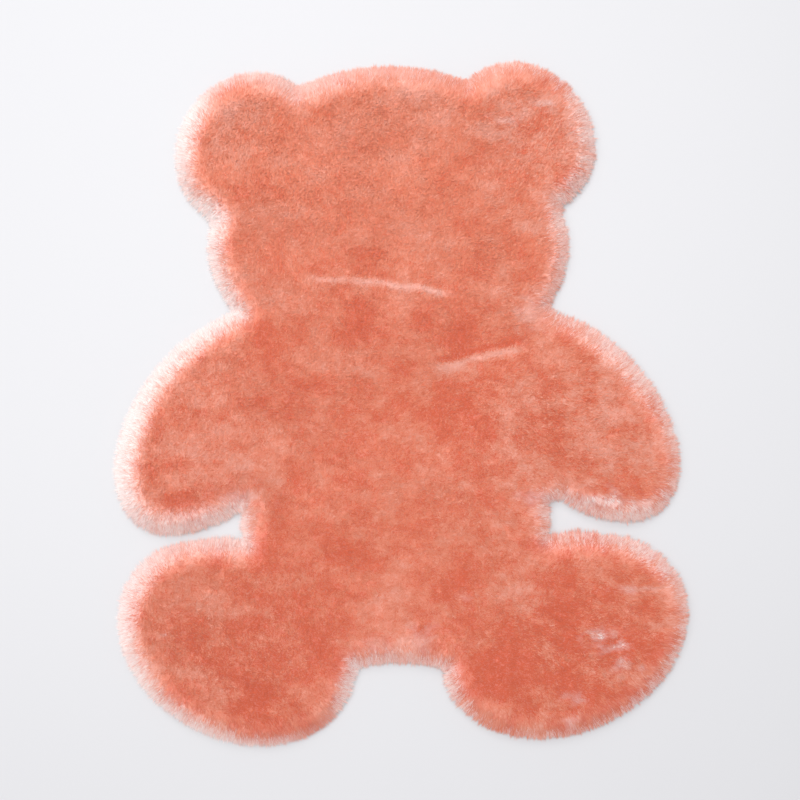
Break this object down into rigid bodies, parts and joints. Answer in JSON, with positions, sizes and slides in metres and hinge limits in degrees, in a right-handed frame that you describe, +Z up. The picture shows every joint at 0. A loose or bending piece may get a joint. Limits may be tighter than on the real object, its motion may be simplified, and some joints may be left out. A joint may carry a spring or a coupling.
{
  "type": "bear-shaped fur rug for a child's room",
  "caption": "Flat teddy-bear-shaped rug of long coral faux fur with round ears, arms and legs, no face, pale roots showing at the rim, for a nursery or play corner floor.",
  "frame": {"origin": "middle of the rug's bounding box at floor level", "axes": "+X to the rug's right as it is seen from above with the head up, +Y from the feet to the head, +Z up out of the pile"},
  "size_m": [0.7576, 0.9006, 0.0272],
  "materials": {
    "coral_fur": "long soft pile, coral to the tips with near-white roots, matt with a faint sheen",
    "backing_cloth": "pale short-napped backing cloth under the pile"
  },
  "bodies": {
    "root": {"fur_panel": "coral_fur"}
  },
  "joints": []
}
